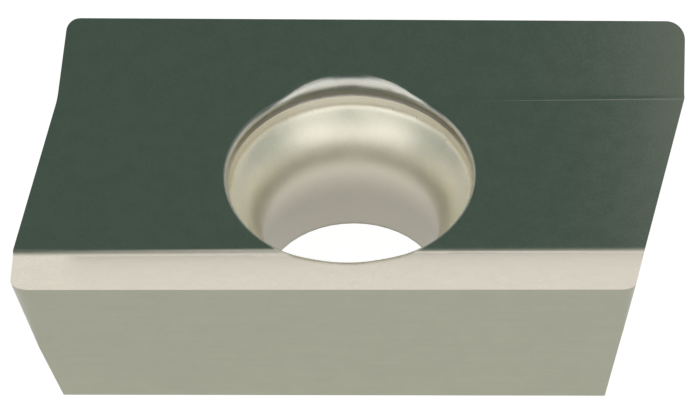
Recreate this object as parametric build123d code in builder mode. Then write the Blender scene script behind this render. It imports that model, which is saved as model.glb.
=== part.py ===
"""Two-edged indexable carbide insert for a 90 degree milling cutter.

The insert is one sintered and ground piece, alike after half a turn about
its screw hole.  The origin is on the hole's axis in the seat plane, +Z goes
up out of the seat, and +X runs along the two long cutting edges.
"""

import os
from math import acos, cos, degrees, radians, sin, tan

from build123d import *

# Driving dimensions, in millimetres and degrees.
WIDTH = 9.525  # across the two long cutting edges, halfway along them
LENGTH = 16.92  # across the kinks of the two ends, at the level of the floor
EDGE_HEIGHT = 4.86  # from the seat to a long cutting edge, halfway along it

FLOOR_WIDTH = 5.45  # flat floor of the top, from crease to crease
RAKE_ANGLE = 20.0  # slope of the two rake faces, rising to the long edges
RAKE_SKEW = 0.65  # turn of floor and rake faces, in plan, from the long edges
CREASE_RADIUS = 1.0  # hollow blend between the floor and a rake face

LONG_CLEARANCE = 11.0  # lean of the long flanks, inwards below the edge
END_CLEARANCE = 11.0  # lean of the slanted end flanks
WIPER_CLEARANCE = 15.0  # lean of the short wiper flanks beside the noses
END_SLANT = 10.3  # slanted end flanks, in plan, from square
WIPER_SLANT = 5.0  # wiper flanks, in plan at floor level, from square
WIPER_START = 2.7  # from the middle of the width to the kink of an end

NOSE_RADIUS = 0.55  # cutting corner, between long edge and wiper
HEEL_RADIUS = 0.38  # blunt corner, between long edge and slanted end
CORNER_RUNOUT = 5.0  # depth over which a corner sharpens, in corner radii

BORE_DIAMETER = 4.45  # plain bore for the screw's shank
POCKET_DIAMETER = 6.16  # straight mouth that takes the screw's head
POCKET_DEPTH = 0.67  # straight mouth, below the floor
HEAD_SEAT_RADIUS = 1.7  # rounded seat under the head, seen in section
SEAT_BLEND_RADIUS = 0.15  # hollow blend between the seat and the mouth's wall
FLARE_RADIUS = 0.7  # outward flare of the mouth, seen in section
FLARE_DEPTH = 0.334  # start of the flare, below the floor
RIM_RADIUS = 0.05  # rounding of the mouth's rim

STOCK = 1.0  # left on the blank for grinding, and overrun of each cut

# Places that follow from the driving dimensions.
half_width = WIDTH / 2
half_length = LENGTH / 2
half_floor = FLOOR_WIDTH / 2
skew = radians(RAKE_SKEW)
edge_rise = (half_width * cos(skew) - half_floor) * tan(radians(RAKE_ANGLE))
floor_level = EDGE_HEIGHT - edge_rise


class Flank:
    """A ground side face, which leans inwards below a point of its edge."""

    def __init__(self, edge_point, heading, clearance):
        self.edge_point = Vector(*edge_point)
        self.heading = heading
        self.clearance = radians(clearance)
        self.outward = Vector(cos(radians(heading)), sin(radians(heading)), 0)

    def plane(self):
        """The flank's plane, whose normal points out of the insert."""
        normal = self.outward * cos(self.clearance) - Vector(0, 0, sin(self.clearance))
        return Plane(origin=self.edge_point, z_dir=normal)

    def reach(self, level):
        """Distance from the hole's axis to the flank, at one level."""
        climb = (level - self.edge_point.Z) * tan(self.clearance)
        return self.outward.dot(Vector(self.edge_point.X, self.edge_point.Y, 0)) + climb


def corner_point(one, other, level, inset=0.0):
    """Plan point that lies inset inside both flanks at one level."""
    turn = sin(radians(other.heading - one.heading))
    reach_one = one.reach(level) - inset
    reach_other = other.reach(level) - inset
    x = (reach_one * other.outward.Y - reach_other * one.outward.Y) / turn
    y = (reach_other * one.outward.X - reach_one * other.outward.X) / turn
    return Vector(x, y, 0)


def grinding_of_corner(one, other, radius, edge_level, top_level):
    """Stock that is ground away to round the corner of two flanks.

    What stays behind it is a cone that touches both flanks.  The cone has the
    given radius at the level of the cutting edge and runs out to a sharp
    corner below it.
    """
    runout = CORNER_RUNOUT * radius
    sharp_level = edge_level - runout
    tip = corner_point(one, other, sharp_level)
    top_radius = radius * (top_level - sharp_level) / runout
    centre = corner_point(one, other, top_level, inset=top_radius)
    middle = (one.outward + other.outward).normalized()
    touch_one = centre + one.outward * top_radius
    touch_other = centre + other.outward * top_radius
    with BuildPart() as stock:
        with BuildSketch(Plane.XY.offset(top_level)) as outline:
            with BuildLine():
                ThreePointArc(touch_one, centre + middle * top_radius, touch_other)
                Polyline(
                    touch_other,
                    touch_other + other.outward * STOCK,
                    corner_point(one, other, top_level, inset=-STOCK),
                    touch_one + one.outward * STOCK,
                    touch_one,
                )
            make_face()
        loft(sections=[outline.sketch, Vertex(tip.X, tip.Y, sharp_level)], ruled=True)
    return stock.part


def ground_flanks(side):
    """Long, end and wiper flank of one half.

    Side 1 has the front long flank with the right-hand end and wiper, and
    side -1 has their copies half a turn about the hole.
    """
    turn = 0 if side > 0 else 180
    kink = (side * half_length, side * WIPER_START, floor_level)
    long_flank = Flank((0, -side * half_width, EDGE_HEIGHT), turn - 90, LONG_CLEARANCE)
    end_flank = Flank(kink, turn - END_SLANT, END_CLEARANCE)
    wiper_flank = Flank(kink, turn + WIPER_SLANT, WIPER_CLEARANCE)
    return long_flank, end_flank, wiper_flank


front_long, right_end, right_wiper = ground_flanks(1)
back_long, left_end, left_wiper = ground_flanks(-1)

# Stock ground off the corners: two cutting noses beside the wipers, two heels.
blank_half_width = half_width + STOCK
blank_height = floor_level + (blank_half_width - half_floor) * tan(radians(RAKE_ANGLE))
corner_stocks = [
    grinding_of_corner(long_flank, short_flank, radius, EDGE_HEIGHT, blank_height)
    for long_flank, short_flank, radius in (
        (front_long, left_wiper, NOSE_RADIUS),
        (back_long, right_wiper, NOSE_RADIUS),
        (front_long, right_end, HEEL_RADIUS),
        (back_long, left_end, HEEL_RADIUS),
    )
]

# Section of the blank, square to the creases: flat seat, floor and two rakes.
along_creases = Vector(cos(skew), sin(skew), 0)
across_creases = Vector(-sin(skew), cos(skew), 0)
section_plane = Plane(origin=(0, 0, 0), x_dir=across_creases, z_dir=along_creases)

# Section of the hole: bore, rounded seat for the screw's head, flared mouth.
bore_radius = BORE_DIAMETER / 2
pocket_radius = POCKET_DIAMETER / 2
pocket_floor = floor_level - POCKET_DEPTH
seat_sweep = acos(1 - (pocket_radius - bore_radius) / HEAD_SEAT_RADIUS)
bore_top = pocket_floor - HEAD_SEAT_RADIUS * sin(seat_sweep)
flare_start = floor_level - FLARE_DEPTH
flare_sweep = 75  # ends above the rake faces, so that the flare runs out through them

with BuildPart() as insert:
    # Blank, with the floor and both rake faces along the creases.
    with BuildSketch(section_plane) as section:
        with BuildLine():
            Polyline(
                (-blank_half_width, 0),
                (blank_half_width, 0),
                (blank_half_width, blank_height),
                (half_floor, floor_level),
                (-half_floor, floor_level),
                (-blank_half_width, blank_height),
                close=True,
            )
        make_face()
        creases = section.vertices().group_by(Axis.Y)[1]
        fillet(creases, CREASE_RADIUS)
    extrude(amount=half_length + STOCK, both=True)

    # Ground flanks.
    for flank in (front_long, back_long, right_end, left_end, right_wiper, left_wiper):
        split(bisect_by=flank.plane(), keep=Keep.BOTTOM)

    # Ground corners.
    for stock in corner_stocks:
        add(stock, mode=Mode.SUBTRACT)

    # Screw hole, with the seam of its round walls in the middle of the back rake face.
    with BuildSketch(Plane.YZ) as hole_section:
        with BuildLine():
            bore_wall = Polyline((0, -STOCK), (bore_radius, -STOCK), (bore_radius, bore_top))
            head_seat = JernArc(
                bore_wall @ 1, (0, 1), HEAD_SEAT_RADIUS, -degrees(seat_sweep)
            )
            mouth_wall = Line(head_seat @ 1, (pocket_radius, flare_start))
            flare = JernArc(mouth_wall @ 1, (0, 1), FLARE_RADIUS, -flare_sweep)
            Polyline(
                flare @ 1,
                ((flare @ 1).X, blank_height),
                (0, blank_height),
                bore_wall @ 0,
            )
        make_face()
        seat_corner = hole_section.vertices().sort_by_distance((pocket_radius, pocket_floor))[0]
        fillet(seat_corner, SEAT_BLEND_RADIUS)
    revolve(axis=Axis.Z, mode=Mode.SUBTRACT)

    # Rounded rim of the mouth, which climbs the rake faces at front and back.
    flare_middle = (pocket_radius, 0, floor_level - FLARE_DEPTH / 2)
    flare_wall = insert.faces().sort_by_distance(flare_middle)[0]
    rim = flare_wall.edges().filter_by(
        lambda edge: edge.bounding_box().min.Z > floor_level - FLARE_DEPTH / 2
    )
    fillet(rim, RIM_RADIUS)

insert.part.label = "insert"

os.makedirs("parts", exist_ok=True)
export_step(insert.part, "parts/insert.step")
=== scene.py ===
"""A ground carbide milling insert on a pale studio floor, around its CAD model."""

import logging
import math
from dataclasses import dataclass
from enum import Enum

import bmesh
import bpy
from mathutils import Matrix, Vector

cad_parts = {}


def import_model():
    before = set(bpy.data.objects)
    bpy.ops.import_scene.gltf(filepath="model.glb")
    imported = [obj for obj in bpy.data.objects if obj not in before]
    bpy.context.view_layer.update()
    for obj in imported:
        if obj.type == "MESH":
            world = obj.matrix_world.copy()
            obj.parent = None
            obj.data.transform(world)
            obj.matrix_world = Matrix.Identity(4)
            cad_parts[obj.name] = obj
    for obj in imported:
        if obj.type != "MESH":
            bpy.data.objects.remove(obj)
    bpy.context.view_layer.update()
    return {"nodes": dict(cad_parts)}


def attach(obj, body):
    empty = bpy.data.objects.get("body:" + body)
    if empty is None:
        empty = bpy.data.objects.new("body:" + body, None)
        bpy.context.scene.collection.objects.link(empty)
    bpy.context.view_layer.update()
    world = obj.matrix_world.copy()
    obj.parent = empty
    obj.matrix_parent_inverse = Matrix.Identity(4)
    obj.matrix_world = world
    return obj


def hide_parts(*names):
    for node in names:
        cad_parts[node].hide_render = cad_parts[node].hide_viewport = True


LOG = logging.getLogger("carbide_insert")
MM = 0.001
FLOOR_LEVEL = 4.11852  # flat floor of the top above the seat, in millimetres
NOISE_ROUGHNESS = 0.6
FINE_DETAIL = 3.0
COARSE_DETAIL = 2.0
BEVEL_SAMPLES = 8
IMAGE_WIDTH = 700

Span = tuple[float, float]
Triple = tuple[float, float, float]
Color = Triple
WHITE: Color = (1.0, 1.0, 1.0)


def add_object(name: str, data: bpy.types.ID) -> bpy.types.Object:
    """Makes an object of a mesh, a lamp or a camera and links it to the scene.

    Args:
        name: the object's name.
        data: what the object shows.

    Returns:
        The new object.
    """
    made = bpy.data.objects.new(name, data)
    bpy.context.scene.collection.objects.link(made)
    return made


class Zone(Enum):
    """Surfaces that are finished alike, with their material slot's place."""

    TOP = 0
    FLANK = 1
    HOLE = 2
    MOUTH = 3
    HONE = 4


class NodeGraph:
    """Adds and links shader nodes with few words."""

    def __init__(self, tree: bpy.types.NodeTree) -> None:
        """Empties the tree.

        Args:
            tree: node tree of a material or world.
        """
        self.tree = tree
        tree.nodes.clear()

    def node(self, kind: str, **settings: object) -> bpy.types.Node:
        """Adds a node.

        Args:
            kind: Blender's name of the node's type.
            settings: properties to set on the node.

        Returns:
            The new node.
        """
        made = self.tree.nodes.new(kind)
        for key, value in settings.items():
            setattr(made, key, value)
        return made

    def feed(self, socket: bpy.types.NodeSocket, value: object) -> None:
        """Links an output to a socket, or sets the socket's own value.

        Args:
            socket: input to feed.
            value: an output socket, or a plain value.
        """
        if isinstance(value, bpy.types.NodeSocket):
            self.tree.links.new(value, socket)
        else:
            socket.default_value = value

    def math(self, operation: str, *values: object,
             clamp: bool = False) -> bpy.types.NodeSocket:
        """Adds a Math node.

        Args:
            operation: name of the operation.
            values: its inputs, in order.
            clamp: keeps the result from 0 to 1.

        Returns:
            The result's socket.
        """
        made = self.node("ShaderNodeMath", operation=operation, use_clamp=clamp)
        for socket, value in zip(made.inputs, values):
            self.feed(socket, value)
        return made.outputs[0]

    def ramp(self, value: object, low: float, high: float, start: float = 0.0,
             end: float = 1.0) -> bpy.types.NodeSocket:
        """Turns a value smoothly from start, at low, to end, at high.

        Args:
            value: input to map.
            low: input that gives start.
            high: input that gives end.
            start: first result.
            end: last result.

        Returns:
            The result's socket.
        """
        made = self.node("ShaderNodeMapRange", interpolation_type="SMOOTHSTEP")
        for socket, item in zip(made.inputs, (value, low, high, start, end)):
            self.feed(socket, item)
        return made.outputs[0]

    def blend(self, factor: object, first: object,
              second: object) -> bpy.types.NodeSocket:
        """Mixes two colours.

        Args:
            factor: share of the second colour.
            first: colour at 0.
            second: colour at 1.

        Returns:
            The mixed colour's socket.
        """
        made = self.node("ShaderNodeMix", data_type="RGBA")
        # The node's inputs 6 and 7 are its two colours, and its output 2 their mix.
        for socket, item in zip((made.inputs[0], made.inputs[6], made.inputs[7]),
                                (factor, first, second)):
            self.feed(socket, item if isinstance(item, (float, bpy.types.NodeSocket))
                      else (*item, 1.0))
        return made.outputs[2]

    def noise(self, place: bpy.types.NodeSocket, size: float,
              detail: float = FINE_DETAIL,
              stretch: Triple = (1.0, 1.0, 1.0)) -> bpy.types.NodeSocket:
        """Adds noise whose grains have a size in millimetres.

        Args:
            place: coordinates in millimetres.
            size: size of a grain.
            detail: finer layers on top of it.
            stretch: how much longer the grains are along x, y and z.

        Returns:
            The noise value's socket.
        """
        mapping = self.node("ShaderNodeMapping")
        self.feed(mapping.inputs["Vector"], place)
        mapping.inputs["Scale"].default_value = tuple(1 / (size * s) for s in stretch)
        made = self.node("ShaderNodeTexNoise")
        self.feed(made.inputs["Vector"], mapping.outputs[0])
        made.inputs["Scale"].default_value = 1.0
        made.inputs["Detail"].default_value = detail
        made.inputs["Roughness"].default_value = NOISE_ROUGHNESS
        return made.outputs["Fac"]

    def axes(self, place: bpy.types.NodeSocket) -> bpy.types.NodeOutputs:
        """Splits coordinates into their X, Y and Z.

        Args:
            place: coordinates or direction.

        Returns:
            The three outputs, by name.
        """
        made = self.node("ShaderNodeSeparateXYZ")
        self.feed(made.inputs[0], place)
        return made.outputs

    def end(self, kind: str, surface: bpy.types.NodeSocket) -> None:
        """Adds the output node.

        Args:
            kind: Blender's name of the output node's type.
            surface: shader of the surface.
        """
        self.feed(self.node(kind).inputs["Surface"], surface)


@dataclass(frozen=True)
class CarbideFinish:
    """One way the carbide's surface is worked, with any shade painted into its colour.
    Sizes are in millimetres.
    """

    name: str
    base: Color
    shade_spread: float
    roughness: float
    roughness_spread: float
    grain: float
    cloud: float
    relief: float
    lay: Triple = (1.0, 1.0, 1.0)
    lay_share: float = 0.0
    fine_share: float = 0.6
    cloud_share: float = 0.4
    mottle: Span = (0.36, 0.64)
    metal: float = 1.0
    # depth_shade paints shade into the colour: the colour is scaled by depth_shade at
    # the low Z of depth, and kept whole at its high Z.
    depth_shade: float = 1.0
    depth: Span = (1.0, 2.9)
    rounding: float = 0.0
    rake_rounding: float = 0.3
    rake_climb: float = 0.15
    rounding_reach: Span = (3.75, 3.85)

    def material(self) -> bpy.types.Material:
        """Builds the finish as shader nodes.

        Returns:
            The material.
        """
        made = bpy.data.materials.new(self.name)
        made.use_nodes = True
        graph = NodeGraph(made.node_tree)
        place = graph.node("ShaderNodeMapping")
        place.inputs["Scale"].default_value = (1 / MM,) * 3
        own = graph.node("ShaderNodeTexCoord").outputs["Object"]
        graph.feed(place.inputs["Vector"], own)
        place = place.outputs[0]

        grains = graph.noise(place, self.grain)
        clouds = graph.noise(place, self.cloud, COARSE_DETAIL)
        marks = graph.noise(place, self.grain, COARSE_DETAIL, self.lay)
        fine = graph.blend(self.lay_share, grains, marks)
        mottle = graph.math("ADD", graph.math("MULTIPLY", fine, self.fine_share),
                            graph.math("MULTIPLY", clouds, self.cloud_share))
        level = graph.ramp(mottle, *self.mottle)

        dark = tuple(c * (1 - self.shade_spread) for c in self.base)
        light = tuple(min(c * (1 + self.shade_spread), 1.0) for c in self.base)
        color = graph.blend(level, dark, light)
        # Painted shade: the colour grows darker down the hole.
        if self.depth_shade < 1.0:
            color = self.painted_shade_below(graph, place, color)
        rough = graph.ramp(mottle, *self.mottle,
                           self.roughness - self.roughness_spread,
                           self.roughness + self.roughness_spread)

        bump = graph.node("ShaderNodeBump")
        bump.inputs["Strength"].default_value = 1.0
        bump.inputs["Distance"].default_value = self.relief * MM
        graph.feed(bump.inputs["Height"], fine)
        if self.rounding:
            graph.feed(bump.inputs["Normal"], self.rounded_normal(graph, place))

        shader = graph.node("ShaderNodeBsdfPrincipled")
        shader.inputs["Metallic"].default_value = self.metal
        graph.feed(shader.inputs["Base Color"], color)
        graph.feed(shader.inputs["Roughness"], rough)
        graph.feed(shader.inputs["Normal"], bump.outputs[0])
        graph.end("ShaderNodeOutputMaterial", shader.outputs[0])
        return made

    def painted_shade_below(self, graph: NodeGraph, place: bpy.types.NodeSocket,
                     color: bpy.types.NodeSocket) -> bpy.types.NodeSocket:
        """Paints shade into the colour, darker from the seat down to the bore.

        Args:
            graph: the material's nodes.
            place: coordinates in millimetres.
            color: colour of the seat.

        Returns:
            The colour's socket.
        """
        # Painted shade: the colour is scaled down towards the bottom of the hole.
        shade = graph.ramp(graph.axes(place)["Z"], *self.depth, self.depth_shade, 1.0)
        made = graph.node("ShaderNodeVectorMath", operation="SCALE")
        graph.feed(made.inputs[0], color)
        graph.feed(made.inputs["Scale"], shade)
        return made.outputs[0]

    def rounded_normal(self, graph: NodeGraph,
                       place: bpy.types.NodeSocket) -> bpy.types.NodeSocket:
        """Rounds the shading at the hole's corners, more where the rim climbs.

        Args:
            graph: the material's nodes.
            place: coordinates in millimetres.

        Returns:
            The normal's socket.
        """
        axes = graph.axes(place)
        squares = [graph.math("MULTIPLY", axes[a], axes[a]) for a in "XY"]
        off_axis = graph.math("SQRT", graph.math("ADD", *squares))
        near = graph.ramp(off_axis, *self.rounding_reach, 1.0, 0.0)
        radius = graph.ramp(axes["Z"], FLOOR_LEVEL, FLOOR_LEVEL + self.rake_climb,
                            self.rounding * MM, self.rake_rounding * MM)
        made = graph.node("ShaderNodeBevel", samples=BEVEL_SAMPLES)
        graph.feed(made.inputs["Radius"], graph.math("MULTIPLY", near, radius))
        return made.outputs[0]


FINISHES: dict[Zone, CarbideFinish] = {
    Zone.TOP: CarbideFinish(
        name="polished_top", base=(0.70, 0.65, 0.55), shade_spread=0.04,
        roughness=0.14, roughness_spread=0.012, grain=0.07, cloud=0.5,
        relief=0.0002, rounding=0.1),
    Zone.FLANK: CarbideFinish(
        name="ground_flank", base=(0.345, 0.345, 0.27), shade_spread=0.04,
        roughness=0.34, roughness_spread=0.04, grain=0.06, cloud=0.6,
        relief=0.0006, lay=(30.0, 30.0, 1.0), lay_share=0.6),
    # The hole's colour carries painted shade: it darkens from the seat down to the bore
    # (depth_shade).
    Zone.HOLE: CarbideFinish(
        name="sintered_hole", base=(0.97, 0.91, 0.765), shade_spread=0.03,
        roughness=0.44, roughness_spread=0.03, grain=0.06, cloud=0.5,
        relief=0.0008, metal=0.78, depth_shade=0.50, rounding=0.2),
    Zone.MOUTH: CarbideFinish(
        name="polished_mouth", base=(0.50, 0.49, 0.445), shade_spread=0.03,
        roughness=0.16, roughness_spread=0.02, grain=0.06, cloud=0.5,
        relief=0.0003, metal=0.95, rounding=0.2),
    Zone.HONE: CarbideFinish(
        name="honed_edge", base=(0.70, 0.66, 0.57), shade_spread=0.03,
        roughness=0.16, roughness_spread=0.03, grain=0.05, cloud=0.4,
        relief=0.0002),
}


@dataclass
class InsertBody:
    """The ground carbide body. Sizes are in millimetres, angles in degrees."""

    node: str = "insert"
    flare_depth: float = 0.334
    rake_angle: float = 20.0
    rake_margin: float = 1.0
    pocket_radius: float = 3.08
    pocket_margin: float = 0.01
    mouth_reach: float = 3.42
    hone: float = 0.012
    sharp_angle: float = 40.0
    smooth_angle: float = 24.0
    merge: float = 0.0002
    flat_angle: float = 0.05
    rim_height: Span = (0.03, 0.23)
    rim_reach: Span = (3.18, 3.48)
    rim_pull: float = 0.055
    end_lean: float = 0.02  # the most that a face of the top leans to either end
    wall_rise: Span = (-0.2, 0.98)  # Z of a normal in the hole
    upward: float = 0.5  # Z of a normal past which a face belongs to the top

    def draw_in_rim(self, body: bmesh.types.BMesh) -> None:
        """Draws the mouth's rim in along the rake faces, where it climbs them.

        Args:
            body: the merged body.
        """
        slope = math.tan(math.radians(self.rake_angle))
        low, full = self.rim_height
        inner, outer = self.rim_reach
        for vert in body.verts:
            place = vert.co / MM
            radius = math.hypot(place.x, place.y)
            height = place.z - FLOOR_LEVEL
            if not inner < radius < outer or height < low:
                continue
            share = min((height - low) / (full - low), 1.0)
            pull = self.rim_pull * share * share * (3 - 2 * share)  # sets in smoothly
            inward = Vector((-place.x, -place.y, -abs(place.y) * slope))
            vert.co += inward * (pull / radius) * MM

    def is_top(self, face: bmesh.types.BMFace) -> bool:
        """Tells floor, creases and rake faces, which lean only to front and back.

        Args:
            face: face of the merged body.

        Returns:
            True for a face of the top.
        """
        lean = math.degrees(face.normal.angle(Vector((0.0, 0.0, 1.0))))
        low = lean < self.rake_angle + self.rake_margin
        return low and abs(face.normal.x) < self.end_lean

    def zone(self, face: bmesh.types.BMFace) -> Zone:
        """Tells how a face is finished.

        Args:
            face: face of the merged body.

        Returns:
            The face's zone.
        """
        center = face.calc_center_median() / MM
        radius = math.hypot(center.x, center.y)
        in_flare = center.z > FLOOR_LEVEL - self.flare_depth
        if radius < self.mouth_reach and in_flare and not self.is_top(face):
            return Zone.MOUTH
        low, high = self.wall_rise
        in_pocket = radius < self.pocket_radius + self.pocket_margin
        if in_pocket and low < face.normal.z < high:
            return Zone.HOLE
        return Zone.TOP if face.normal.z > self.upward else Zone.FLANK

    def build(self, source: bpy.types.Object) -> bpy.types.Object:
        """Merges a copy of the CAD node, hones its sharp edges and dresses it.

        Args:
            source: CAD node that the body stands for.

        Returns:
            The dressed body.
        """
        body = bmesh.new()
        body.from_mesh(source.data)
        bmesh.ops.remove_doubles(body, verts=body.verts, dist=self.merge * MM)
        self.draw_in_rim(body)
        bmesh.ops.dissolve_limit(body, angle_limit=math.radians(self.flat_angle),
                                 verts=body.verts, edges=body.edges)
        for face in body.faces:
            face.material_index = self.zone(face).value
            face.smooth = True
        sharp = [edge for edge in body.edges
                 if edge.is_manifold and edge.is_convex
                 and math.degrees(edge.calc_face_angle()) > self.sharp_angle]
        honed = bmesh.ops.bevel(body, geom=sharp, offset=self.hone * MM,
                                offset_type="OFFSET", affect="EDGES", segments=2,
                                profile=0.5, material=-1, clamp_overlap=True)
        for face in honed["faces"]:
            face.material_index = Zone.HONE.value
        mesh = bpy.data.meshes.new("insert_body")
        body.to_mesh(mesh)
        body.free()
        for zone in Zone:
            mesh.materials.append(FINISHES[zone].material())
        mesh.set_sharp_from_angle(angle=math.radians(self.smooth_angle))
        piece = add_object("insert_body", mesh)
        weighted = piece.modifiers.new("even_shading", "WEIGHTED_NORMAL")
        weighted.keep_sharp = True
        return piece

    def attach(self, piece: bpy.types.Object) -> None:
        """Tells the frame what the piece is and stands for.

        Args:
            piece: the dressed body.
        """
        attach(piece, "root")
        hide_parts("insert")


@dataclass(frozen=True)
class SoftLamp:
    """A soft rectangular lamp that the camera does not see. Lengths are in metres."""

    name: str
    width: float
    height: float
    radiance: float

    def hang(self, place: Vector, tilt: float) -> None:
        """Hangs the lamp.

        Args:
            place: the lamp's middle.
            tilt: turn about the X axis from facing straight down, in radians.
        """
        light = bpy.data.lights.new(self.name, "AREA")
        light.shape = "RECTANGLE"
        light.size = self.width
        light.size_y = self.height
        light.energy = self.radiance * math.pi * self.width * self.height
        hung = add_object(self.name, light)
        hung.location = place
        hung.rotation_euler = (tilt, 0.0, 0.0)
        hung.visible_camera = False


@dataclass
class Studio:
    """Floor, surroundings, lamps and camera.

    Lengths are in metres, angles in degrees and brightness in shares of white. The
    spans say where the surroundings change, as parts of a unit vector's X, Y or Z.
    """

    floor_size: float = 4.0
    floor_color: Color = (0.24, 0.24, 0.24)
    floor_glow: float = 0.94
    overhead: Color = (0.075, 0.120, 0.108)
    horizon: Span = (0.66, 0.08)
    front: Span = (-0.02, -0.22)
    panel_top: Span = (0.62, 0.56)
    panel_level: float = 1.3
    slot_level: float = 1.2
    slot_side: Span = (0.07, 0.13)
    lamp_distance: float = 0.40
    lamp_tilt: float = 42.0
    lamp_gap: float = 0.13
    lamp_width: float = 0.46
    lamp_height: float = 0.30
    lamp_radiance: float = 1.22
    lamp_edge_slope: float = 0.519  # Z over Y of the plane through the lower edges
    lamp_edge: Span = (-0.02, 0.03)
    lamp_side: Span = (0.10, 0.17)
    card_tilt: float = 24.0
    card_distance: float = 0.06
    card_edge: float = 0.0075
    card_width: float = 0.05
    card_height: float = 0.09
    card_radiance: float = 0.13
    lens: float = 1000.0
    sensor: float = 36.0
    elevation: float = 46.0357
    azimuth: float = 1.9525
    roll: float = -1.3112
    pixel: float = 0.025320 * MM
    aim: Span = (-0.179, 32.418)  # right and up of the middle, in pixels
    clip_factor: float = 10.0

    def build_floor(self) -> None:
        """Lays the pale floor, which keeps the insert's shadow."""
        sheet = bmesh.new()
        bmesh.ops.create_grid(sheet, x_segments=1, y_segments=1,
                              size=self.floor_size / 2)
        mesh = bpy.data.meshes.new("studio_floor")
        sheet.to_mesh(mesh)
        sheet.free()
        floor = add_object("studio_floor", mesh)
        made = bpy.data.materials.new("pale_floor")
        made.use_nodes = True
        graph = NodeGraph(made.node_tree)
        diffuse = graph.node("ShaderNodeBsdfDiffuse")
        diffuse.inputs["Color"].default_value = (*self.floor_color, 1.0)
        rays = graph.node("ShaderNodeLightPath").outputs
        seen = graph.math("ADD", rays["Is Camera Ray"], rays["Is Glossy Ray"])
        seen = graph.math("ADD", seen, rays["Is Transmission Ray"], clamp=True)
        glow = graph.node("ShaderNodeEmission")
        glow.inputs["Color"].default_value = (*WHITE, 1.0)
        strength = graph.math("MULTIPLY", seen, self.floor_glow)
        graph.feed(glow.inputs["Strength"], strength)
        both = graph.node("ShaderNodeAddShader")
        graph.feed(both.inputs[0], diffuse.outputs[0])
        graph.feed(both.inputs[1], glow.outputs[0])
        graph.end("ShaderNodeOutputMaterial", both.outputs[0])
        mesh.materials.append(made)

    def build_surroundings(self) -> None:
        """Makes the world: a pale horizon, a dark ceiling and a pale panel in front.

        A slightly dimmer slot parts the panel. The world is dark behind the lamps,
        because a lamp lets the world through, and both would add up in a mirror.
        """
        world = bpy.data.worlds.new("studio")
        bpy.context.scene.world = world
        world.use_nodes = True
        graph = NodeGraph(world.node_tree)
        axes = graph.axes(graph.node("ShaderNodeTexCoord").outputs["Generated"])
        band = graph.ramp(axes["Z"], *self.horizon)
        color = graph.blend(band, self.overhead, WHITE)
        aside = graph.math("ABSOLUTE", axes["X"])
        ahead = graph.ramp(axes["Y"], *self.front)

        below = graph.ramp(axes["Z"], *self.panel_top)
        in_front = graph.math("MULTIPLY", ahead, below)
        beside = graph.ramp(aside, *self.slot_side)
        panel = graph.blend(beside, (self.slot_level,) * 3, (self.panel_level,) * 3)
        color = graph.blend(in_front, color, panel)

        lean = graph.math("MULTIPLY", axes["Y"], self.lamp_edge_slope)
        over_edge = graph.ramp(graph.math("ADD", axes["Z"], lean), *self.lamp_edge)
        off_gap = graph.ramp(aside, *self.lamp_side)
        behind_lamps = graph.math("MULTIPLY", off_gap, over_edge)
        behind_lamps = graph.math("MULTIPLY", behind_lamps, ahead)
        color = graph.blend(behind_lamps, color, self.overhead)

        seen = graph.node("ShaderNodeLightPath").outputs["Is Camera Ray"]
        color = graph.blend(seen, color, WHITE)
        light = graph.node("ShaderNodeBackground")
        graph.feed(light.inputs["Color"], color)
        light.inputs["Strength"].default_value = 1.0
        graph.end("ShaderNodeOutputWorld", light.outputs[0])

    def build_lamps(self) -> None:
        """Hangs two soft boxes side by side over the front, with a gap between them."""
        tilt = math.radians(self.lamp_tilt)
        toward = Vector((0.0, -math.sin(tilt), math.cos(tilt)))
        for name, side in (("left_soft_box", -1), ("right_soft_box", 1)):
            shift = side * (self.lamp_gap + self.lamp_width) / 2
            place = toward * self.lamp_distance + Vector((shift, 0.0, 0.0))
            lamp = SoftLamp(name, self.lamp_width, self.lamp_height, self.lamp_radiance)
            lamp.hang(place, tilt)

    def build_card(self) -> None:
        """Hangs a dim bounce card over the right-hand end, which lightens the top."""
        tilt = math.radians(self.card_tilt)
        toward = Vector((0.0, math.sin(tilt), math.cos(tilt)))
        end = Vector((self.card_edge + self.card_width / 2, 0.0, FLOOR_LEVEL * MM))
        card = SoftLamp("end_card", self.card_width, self.card_height,
                        self.card_radiance)
        card.hang(toward * self.card_distance + end, -tilt)

    def build_camera(self) -> None:
        """Sets up the camera with a long lens."""
        tilt, turn, roll = map(math.radians, (self.elevation, self.azimuth, self.roll))
        across = Vector((math.cos(turn), math.sin(turn), 0.0))
        ahead = Vector((-math.sin(turn), math.cos(turn), 0.0))
        rise = ahead * math.sin(tilt) + Vector((0.0, 0.0, math.cos(tilt)))
        back = Vector((0.0, 0.0, math.sin(tilt))) - ahead * math.cos(tilt)
        right = across * math.cos(roll) + rise * math.sin(roll)
        up = rise * math.cos(roll) - across * math.sin(roll)
        distance = self.lens / self.sensor * IMAGE_WIDTH * self.pixel
        aim = Vector((0.0, 0.0, FLOOR_LEVEL * MM))
        aim -= right * self.aim[0] * self.pixel + up * self.aim[1] * self.pixel
        data = bpy.data.cameras.new("camera")
        data.lens = self.lens
        data.sensor_width = self.sensor
        data.clip_start = distance / self.clip_factor
        data.clip_end = distance * self.clip_factor
        camera = add_object("camera", data)
        camera.matrix_world = Matrix.Translation(aim + back * distance) @ Matrix(
            (right, up, back)).transposed().to_4x4()
        bpy.context.scene.camera = camera

    def build(self) -> None:
        """Builds the floor, the surroundings, the lamps and the camera."""
        self.build_floor()
        self.build_surroundings()
        self.build_lamps()
        self.build_card()
        self.build_camera()
        bpy.context.scene.view_settings.view_transform = "Standard"


def main() -> None:
    """Builds the insert and the studio around the CAD frame."""
    logging.basicConfig(level=logging.INFO)
    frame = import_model()
    body = InsertBody()
    piece = body.build(frame["nodes"][body.node])
    body.attach(piece)
    LOG.info("%s: %d faces", piece.name, len(piece.data.polygons))
    Studio().build()
    LOG.info("studio built")


if __name__ == "__main__":
    main()
